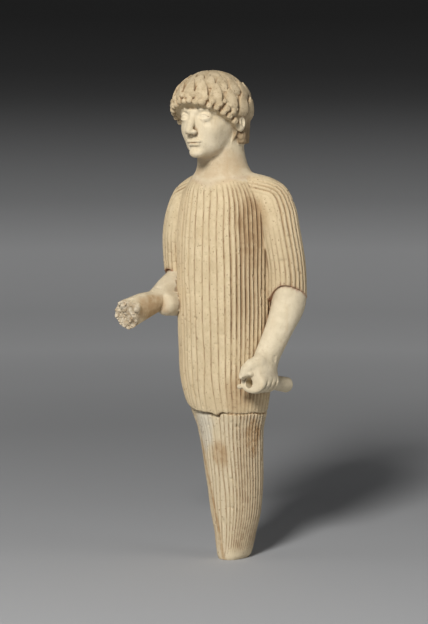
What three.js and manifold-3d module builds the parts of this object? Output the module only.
// A limestone votary statue of the Cypriot kind: a wreathed youth in a long, finely pleated
// tunic, carved from one block. The right hand and the feet are lost, the left fist holds the
// stump of a branch, a strut props the right wrist, and an old break crosses the thighs.
// Millimetres, +Z up. The figure faces -Y and its left hand is towards +X. The origin is the
// middle of the flat underside that the statue stands on.

import * as THREE from "three";
import { mergeVertices } from "three/addons/utils/BufferGeometryUtils.js";
import Module from "manifold-3d";

const wasm = await Module();
wasm.setup();

// Driving dimensions
const NECK_HEIGHT = 880;
const HEAD = new THREE.Vector3(-17, -63, 1000);
const PLEATS = 44;
const SLEEVE_PLEATS = 15;
const SLEEVE_PLEAT = 3;
const BREAK_HEIGHT = 339;
const BRANCH_RADIUS = 17;

const TURN = 2 * Math.PI;
const DEGREE = Math.PI / 180;
const step = THREE.MathUtils.smoothstep;

// The tunic's level sections from the underside up: height, half width, half depth to the
// front and to the back, and the place of the section's middle.
const TUNIC = [
  { z: 0, wide: 29, front: 43, back: 41, x: -1, y: -2 },
  { z: 9, wide: 35, front: 45, back: 42, x: 0, y: -1 },
  { z: 30, wide: 41, front: 45, back: 42, x: 0, y: 1 },
  { z: 62, wide: 48, front: 46, back: 44, x: 0, y: 3 },
  { z: 107, wide: 59, front: 49, back: 48, x: -1, y: 5 },
  { z: 177, wide: 67, front: 52, back: 52, x: -3, y: 4 },
  { z: 246, wide: 75, front: 54, back: 54, x: -6, y: -4 },
  { z: 300, wide: 83, front: 58, back: 57, x: -9, y: -9 },
  { z: 345, wide: 98, front: 65, back: 62, x: -11, y: -13 },
  { z: 406, wide: 111, front: 68, back: 68, x: -14, y: -17 },
  { z: 475, wide: 115, front: 69, back: 70, x: -15, y: -19 },
  { z: 550, wide: 116, front: 70, back: 71, x: -15, y: -22 },
  { z: 660, wide: 117, front: 73, back: 73, x: -14, y: -23 },
  { z: 740, wide: 116, front: 74, back: 73, x: -14, y: -23 },
  { z: 800, wide: 110, front: 69, back: 66, x: -14, y: -23 },
  { z: 840, wide: 92, front: 61, back: 53, x: -15, y: -25 },
  { z: 866, wide: 66, front: 55, back: 50, x: -15, y: -27 },
  { z: NECK_HEIGHT, wide: 50, front: 48, back: 46, x: -15, y: -29 },
];
const BOXINESS = 2.25;

// Limbs, each a chain of stations [x, y, z, half width, half height]. The sleeves run from
// the neckline over the shoulder to the elbow.
const LEFT_SLEEVE = [
  [13, -23, 850, 24],
  [59, -13, 843, 32],
  [96, -2, 822, 39],
  [110, 0, 791, 43],
  [118, 2, 750, 44],
  [127, 12, 672, 44],
  [126, 19, 597, 45],
];
const RIGHT_SLEEVE = [
  [-43, -23, 850, 24],
  [-86, -13, 843, 32],
  [-121, -2, 820, 39],
  [-137, 0, 790, 42],
  [-150, 4, 740, 44],
  [-156, 13, 685, 44],
  [-155, 17, 650, 44],
];
const LEFT_ARM = [
  [128, 19, 640, 37, 41],
  [134, 16, 590, 37, 41],
  [130, -18, 530, 31],
  [120, -46, 476, 26, 31],
  [116, -62, 440, 26, 37],
];
const RIGHT_ARM = [
  [-155, 17, 690, 42],
  [-155, 15, 634, 42, 40],
  [-152, -50, 608, 31],
  [-147, -108, 586, 24, 26],
  [-148, -154, 576, 24, 31],
  [-149, -212, 561, 24, 34],
];
const STRUT = [
  [-100, 0, 574, 27],
  [-119, -30, 578, 29],
  [-127, -75, 579, 27],
  [-129, -107, 580, 27],
];

// A sleeve's hem along its limb: its level, how far it swings up, the turn in degrees of its
// highest place, and how quickly it falls on the outer and on the inner side of that.
const LEFT_HEM = { level: -12, swing: 22, top: 155, outer: 1.3, inner: 2.1 };
const RIGHT_HEM = { level: 4, swing: 14, top: -157, outer: 2, inner: 2 };

// The left fist closes round the stump of a branch, which lies a little above its middle.
const FIST = { x: 112, y: -73, z: 412 };
const BRANCH_SLOPE = 11 * DEGREE;
const BRANCH_BACK = 118;
const BRANCH_LIFT = 9;
const FINGERS = 4;
const FINGER_GAP = 17;
const FINGER_RADIUS = 9.5;
const GRIP = { x: 4, wide: 21.5, high: 15 };
const THUMB = [
  [10, -24, 46, 15],
  [0, -36, 37, 13],
  [-6, -44, 26, 11.5],
  [-10, -47, 12, 10],
];

// Half sizes of the hair under the wreath, and its middle above the head's. Its edge over the
// forehead lies in a plane that rises towards the front.
const HAIR = new THREE.Vector3(78, 96, 82);
const HAIR_RISE = 20;
const HAIR_EDGE = { height: -19, slope: 0.56 };

// The wreath: rows of round buds along that edge, and tiers of leaves above them. A tier
// starts at the angle back and is lifted by the angle lift over the forehead.
const BUD_RADIUS = 7.5;
const BUDS_IN_ROW = 16;
const BUD_ARCH = 152 * DEGREE;
const BUD_ROWS = [-3, 9];
const LEAF_TIERS = [
  { count: 16, back: -4, lift: 32, size: [15, 9, 24], shift: 0 },
  { count: 16, back: 26, lift: 20, size: [13, 9, 20], shift: 0.5 },
  { count: 8, back: 58, lift: 10, size: [13, 6, 18], shift: 0 },
];

// Smooth value of one named measure of the tunic at a height
function tunicAt(key, z) {
  const last = TUNIC.length - 1;
  let i = 0;
  while (i < last - 1 && TUNIC[i + 1].z < z) i += 1;
  const slope = (k) => {
    const [a, b] = [TUNIC[Math.max(k - 1, 0)], TUNIC[Math.min(k + 1, last)]];
    return (b[key] - a[key]) / (b.z - a.z);
  };
  const [low, high] = [TUNIC[i], TUNIC[i + 1]];
  const gap = high.z - low.z;
  const s = THREE.MathUtils.clamp((z - low.z) / gap, 0, 1);
  const [s2, s3] = [s * s, s * s * s];
  return (
    low[key] * (2 * s3 - 3 * s2 + 1) +
    high[key] * (3 * s2 - 2 * s3) +
    gap * (slope(i) * (s3 - 2 * s2 + s) + slope(i + 1) * (s3 - s2))
  );
}

// A point of the tunic's skin: turn is 0 at the front and grows towards the figure's left,
// and out moves the point along the section's normal.
function tunicPoint(turn, z, out) {
  const [sin, cos] = [Math.sin(turn), Math.cos(turn)];
  const wide = tunicAt("wide", z);
  const deep = tunicAt(cos > 0 ? "front" : "back", z);
  const bend = (v) => Math.sign(v) * Math.abs(v) ** (2 / BOXINESS);
  const normal = new THREE.Vector2(sin / wide, -cos / deep).normalize();
  return new THREE.Vector3(
    tunicAt("x", z) + wide * bend(sin) + out * normal.x,
    tunicAt("y", z) - deep * bend(cos) + out * normal.y,
    z,
  );
}

// How deep the pleats are cut: deepest under the arms, faint on the flat back, and running
// out at the neckline and at the foot.
function pleatDepth(turn, z) {
  const aside = Math.abs(Math.sin(turn));
  const behind = step(-Math.cos(turn), 0.2, 0.8);
  const ends = step(z, 4, 60) * (1 - step(z, 790, 865));
  return (1.6 + 2.4 * aside * aside) * (1 - 0.6 * behind) * ends;
}

// The break across the thighs is nearly level and rises steeply at the figure's right side.
function breakHeight(turn) {
  const rise = Math.max(0, Math.cos(turn + 80 * DEGREE));
  return BREAK_HEIGHT + 28 * rise ** 8 + 1.5 * Math.sin(7 * turn);
}

// How far the lower piece stands back under the break, where its edge is chipped away
function breakSetback(turn) {
  return 1.5 + 9 * step(Math.cos(turn + 30 * DEGREE), 0.55, 0.95);
}

// A geometry as a closed solid, without the triangles that its poles and seams leave flat
function solidOf(geometry) {
  geometry.deleteAttribute("normal");
  geometry.deleteAttribute("uv");
  const merged = mergeVertices(geometry, 1e-3);
  const index = merged.index.array;
  const kept = [];
  for (let i = 0; i < index.length; i += 3) {
    const [a, b, c] = index.slice(i, i + 3);
    if (a !== b && b !== c && c !== a) kept.push(a, b, c);
  }
  return new wasm.Manifold(
    new wasm.Mesh({
      numProp: 3,
      vertProperties: merged.attributes.position.array,
      triVerts: new Uint32Array(kept),
    }),
  );
}

function joined(solids) {
  return solids.reduce((sum, solid) => sum.add(solid));
}

// Moves each vertex of a geometry to where place(x, y, z) says.
function reshaped(geometry, place) {
  const at = geometry.attributes.position;
  for (let i = 0; i < at.count; i += 1) {
    const p = place(at.getX(i), at.getY(i), at.getZ(i));
    at.setXYZ(i, p.x, p.y, p.z);
  }
  return geometry;
}

// A drum whose side is a grid of columns and rows: place(turn, row) gives the skin, and a
// flat fan closes each end.
function drum(columns, rows, place) {
  const geometry = new THREE.CylinderGeometry(1, 1, rows, columns, rows);
  const middle = (row) => {
    const sum = new THREE.Vector3();
    for (let i = 0; i < columns; i += 1) {
      sum.add(place((i / columns) * TURN, row));
    }
    return sum.divideScalar(columns);
  };
  return reshaped(geometry, (x, y, z) => {
    const row = Math.round(y + rows / 2);
    if (Math.hypot(x, z) < 0.5) return middle(row);
    const column = Math.round((Math.atan2(x, z) / TURN) * columns);
    return place((column / columns) * TURN, row);
  });
}

// Half a pleat in or out: the drums' columns lie in turn on a crest and in a groove.
function crest(turn, columns) {
  return Math.round((turn / TURN) * columns) % 2 === 0 ? 0.5 : -0.5;
}

// The pleated tunic with the break across it
function tunic() {
  const below = [0, 9, 60, 130, 250];
  const above = [385, 470, 740, 802, 845, NECK_HEIGHT];
  const columns = 2 * PLEATS;
  const place = (turn, row) => {
    const cut = breakHeight(turn);
    const z = [...below, cut - 2, cut, cut + 6, ...above][row];
    const fade = row <= below.length ? step(z, 180, cut) : 0;
    const out = crest(turn, columns) * pleatDepth(turn, z);
    return tunicPoint(turn, z, out - fade * breakSetback(turn));
  };
  return solidOf(drum(columns, below.length + above.length + 2, place));
}

// A limb: a closed tube with a ring of sides at each station. pleat is the height of its
// lengthwise pleats, and end(turn) moves the last ring along the limb.
function limb(stations, sides, pleat = 0, end = () => 0) {
  const rows = stations.length - 1;
  const curve = (pick) => new THREE.CatmullRomCurve3(stations.map(pick));
  const line = curve(([x, y, z]) => new THREE.Vector3(x, y, z));
  const girth = curve(([, , , wide, high = wide], i) => {
    return new THREE.Vector3(wide, high, 50 * i);
  });
  const place = (turn, row) => {
    const along = row / rows;
    const forward = line.getTangent(along);
    const across = new THREE.Vector3(1, 0, 0);
    across.addScaledVector(forward, -across.dot(forward)).normalize();
    const up = across.clone().cross(forward);
    const size = girth.getPoint(along);
    const out = crest(turn, sides) * pleat;
    const last = row === rows ? end(turn) : 0;
    return line
      .getPoint(along)
      .addScaledVector(across, (size.x + out) * Math.sin(turn))
      .addScaledVector(up, (size.y + out) * Math.cos(turn))
      .addScaledVector(forward, last);
  };
  return solidOf(drum(sides, rows, place));
}

function ball(x, y, z, radii, across = 12, down = 8) {
  const geometry = new THREE.SphereGeometry(1, across, down);
  geometry.rotateX(Math.PI / 2);
  geometry.scale(radii[0], radii[1], radii[2]);
  geometry.translate(x, y, z);
  return solidOf(geometry);
}

// A round bar along Y
function bar(radius, from, to, sides) {
  const geometry = new THREE.CylinderGeometry(radius, radius, to - from, sides);
  geometry.translate(0, (from + to) / 2, 0);
  return solidOf(geometry);
}

// The fist is made round the branch's axis, along Y, and then tipped and put in place. The
// fingers curl from the outer side under the branch to the inner side.
function leftHand() {
  const fingers = Array.from({ length: FINGERS }, (_, i) => {
    const y = (i - (FINGERS - 1) / 2) * FINGER_GAP;
    const lift = BRANCH_LIFT * step(y, -34, 30);
    const curl = [60, 10, -45, -100, -150, -195].map((angle) => [
      GRIP.x + GRIP.wide * Math.cos(angle * DEGREE),
      y,
      lift + GRIP.high * Math.sin(angle * DEGREE),
      FINGER_RADIUS,
    ]);
    return limb(curl, 6);
  });
  const grip = joined([
    ball(5, -3, 22, [28, 39, 32], 10, 8),
    bar(1, -21, 33, 10)
      .scale([GRIP.wide + 2, 1, GRIP.high + 4])
      .translate([GRIP.x, 0, BRANCH_LIFT / 2]),
    bar(BRANCH_RADIUS, 0, BRANCH_BACK, 14).translate([0, 0, BRANCH_LIFT]),
    limb(THUMB, 6),
    ...fingers,
  ]);
  return grip
    .subtract(bar(10, -60, -16, 8).translate([-2, 0, -1.5]))
    .rotate([-BRANCH_SLOPE / DEGREE, 0, 0])
    .translate([FIST.x, FIST.y, FIST.z]);
}

// The stump of the right hand ends in a slanting, rough break.
function rightArm() {
  const rough = (turn) => -11 * Math.cos(turn) + 4 * Math.sin(5 * turn);
  return limb(RIGHT_ARM, 12, 0, rough);
}

// The hems of the sleeves are higher at the front than at the back.
function sleeve(stations, { level, swing, top, outer, inner }) {
  const hem = (turn) => {
    const aside = THREE.MathUtils.euclideanModulo(turn - top * DEGREE + Math.PI, TURN) - Math.PI;
    const quick = aside * top < 0 ? outer : inner;
    return level - swing * Math.cos(Math.min(quick * Math.abs(aside), Math.PI));
  };
  return limb(stations, 2 * SLEEVE_PLEATS, SLEEVE_PLEAT, hem);
}

// The head is one smooth field round its centre, negative inside. The face looks along -Y.
function ellipsoid(p, x, y, z, a, b, c) {
  const [u, v, w] = [(p.x - x) / a, (p.y - y) / b, (p.z - z) / c];
  const near = Math.hypot(u, v, w);
  return (near * (near - 1)) / Math.hypot(u / a, v / b, w / c);
}

function blend(a, b, width) {
  const h = THREE.MathUtils.clamp(0.5 + (b - a) / (2 * width), 0, 1);
  return b + (a - b) * h - width * h * (1 - h);
}

function headField(p) {
  const q = { x: Math.abs(p.x), y: p.y, z: p.z };
  let f = ellipsoid(q, 0, 4, 16, 62, 80, 74);
  f = blend(f, ellipsoid(q, 0, -16, -22, 52, 60, 66), 18);
  f = blend(f, ellipsoid(q, 0, -34, -58, 37, 38, 32), 16);
  f = blend(f, ellipsoid(q, 26, -46, -28, 20, 20, 22), 14);
  f = -blend(-f, ellipsoid(q, 25, -85, -2, 16, 14, 11), 6);
  f = blend(f, ellipsoid(q, 25, -60, -3, 14, 14, 8), 3);
  f = blend(f, ellipsoid(q, 0, -76, -14, 9, 14, 30), 6);
  f = blend(f, ellipsoid(q, 0, -88, -34, 12, 11, 8), 5);
  f = blend(f, ellipsoid(q, 0, -70, -58, 20, 10, 7), 5);
  return blend(f, ellipsoid(q, 0, -62, -80, 17, 13, 11), 10);
}

// Distance from the head's centre to its skin along a direction
function skinAlong(direction) {
  let [inside, outside] = [20, 140];
  for (let i = 0; i < 24; i += 1) {
    const middle = (inside + outside) / 2;
    const f = headField(direction.clone().multiplyScalar(middle));
    if (f < 0) inside = middle;
    else outside = middle;
  }
  return inside;
}

function face() {
  const geometry = new THREE.SphereGeometry(1, 26, 20);
  geometry.rotateX(Math.PI / 2);
  geometry.rotateZ(Math.PI / 2);
  reshaped(geometry, (x, y, z) => {
    const direction = new THREE.Vector3(x, y, z).normalize();
    return direction.multiplyScalar(skinAlong(direction));
  });
  return solidOf(geometry);
}

// A place on the hair: turn runs round from the front, and rise from level to the crown.
function onHair(turn, rise, out = 0) {
  return new THREE.Vector3(
    (HAIR.x + out) * Math.sin(turn) * Math.cos(rise),
    (-HAIR.y - out) * Math.cos(turn) * Math.cos(rise),
    HAIR_RISE + (HAIR.z + out) * Math.sin(rise),
  );
}

// A pointed leaf that lies on the hair and points to the crown
function leaf(turn, rise, size) {
  const at = onHair(turn, rise);
  const up = onHair(turn, rise + 2 * DEGREE).sub(at).normalize();
  const across = new THREE.Vector3(Math.cos(turn), Math.sin(turn), 0);
  across.addScaledVector(up, -across.dot(up)).normalize();
  const outward = up.clone().cross(across);
  const geometry = new THREE.OctahedronGeometry(1);
  geometry.scale(...size);
  const basis = new THREE.Matrix4().makeBasis(across, outward, up);
  geometry.applyMatrix4(basis.setPosition(at));
  return solidOf(geometry);
}

function leaves() {
  return LEAF_TIERS.flatMap(({ count, back, lift, size, shift }) => {
    return Array.from({ length: count }, (_, i) => {
      const turn = ((i + shift) / count) * TURN;
      const forward = (1 + Math.cos(turn)) / 2;
      return leaf(turn, (back + lift * forward * forward) * DEGREE, size);
    });
  });
}

// The rows of buds arch over the forehead from temple to temple.
function buds() {
  return BUD_ROWS.flatMap((above, row) => {
    return Array.from({ length: BUDS_IN_ROW - row }, (_, i) => {
      const turn = ((i + row / 2) / (BUDS_IN_ROW - 1) - 0.5) * BUD_ARCH;
      const height = HAIR_EDGE.height + HAIR_EDGE.slope * HAIR.y * Math.cos(turn) + above;
      const at = onHair(turn, Math.asin((height - HAIR_RISE) / HAIR.z), 1);
      const geometry = new THREE.IcosahedronGeometry(BUD_RADIUS);
      geometry.translate(at.x, at.y, at.z);
      return solidOf(geometry);
    });
  });
}

// The hair under the wreath, cut off in front along its edge over the forehead
function hair() {
  const normal = new THREE.Vector3(0, HAIR_EDGE.slope, 1);
  const offset = (HAIR_EDGE.height - BUD_RADIUS) / normal.length();
  const skull = ball(0, 0, HAIR_RISE, HAIR.toArray(), 18, 10);
  return skull.trimByPlane(normal.normalize().toArray(), offset);
}

// Long strands hang down the nape behind the ears.
function napeHair() {
  const strands = 9;
  return Array.from({ length: strands }, (_, i) => {
    const turn = (105 + (150 * i) / (strands - 1)) * DEGREE;
    const at = (z, out, radius) => {
      const p = onHair(turn, 0, out);
      return [p.x, p.y, z, radius];
    };
    return limb([at(20, -11, 15), at(-54, -15, 14)], 6);
  });
}

function ears() {
  return [-1, 1].map((side) => {
    return ball(side * 67, 6, -14, [8, 12, 17], 8, 6);
  });
}

function head() {
  return joined([
    face(),
    hair(),
    ...leaves(),
    ...buds(),
    ...napeHair(),
    ...ears(),
  ]).translate([HEAD.x, HEAD.y, HEAD.z]);
}

function neck() {
  const stations = [
    [-15, -26, 838, 88, 60],
    [-15, -27, 866, 74, 58],
    [-15, -30, 892, 58, 55],
    [-16, -36, 930, 53],
    [-17, -40, 1000, 58],
  ];
  return limb(stations, 20);
}

const statue = joined([
  tunic(),
  sleeve(LEFT_SLEEVE, LEFT_HEM),
  sleeve(RIGHT_SLEEVE, RIGHT_HEM),
  limb(LEFT_ARM, 12),
  rightArm(),
  limb(STRUT, 12),
  leftHand(),
  neck(),
  head(),
]);

const mesh = statue.getMesh();
const geometry = new THREE.BufferGeometry();
geometry.setAttribute(
  "position",
  new THREE.BufferAttribute(new Float32Array(mesh.vertProperties), 3),
);
geometry.setIndex(new THREE.BufferAttribute(new Uint32Array(mesh.triVerts), 1));

const limestone = new THREE.MeshStandardMaterial({
  color: 0xd8c39f,
  roughness: 0.9,
  metalness: 0,
});
const votary = new THREE.Mesh(geometry, limestone);
votary.name = "votary_statue";

const group = new THREE.Group();
group.add(votary);
export default group;
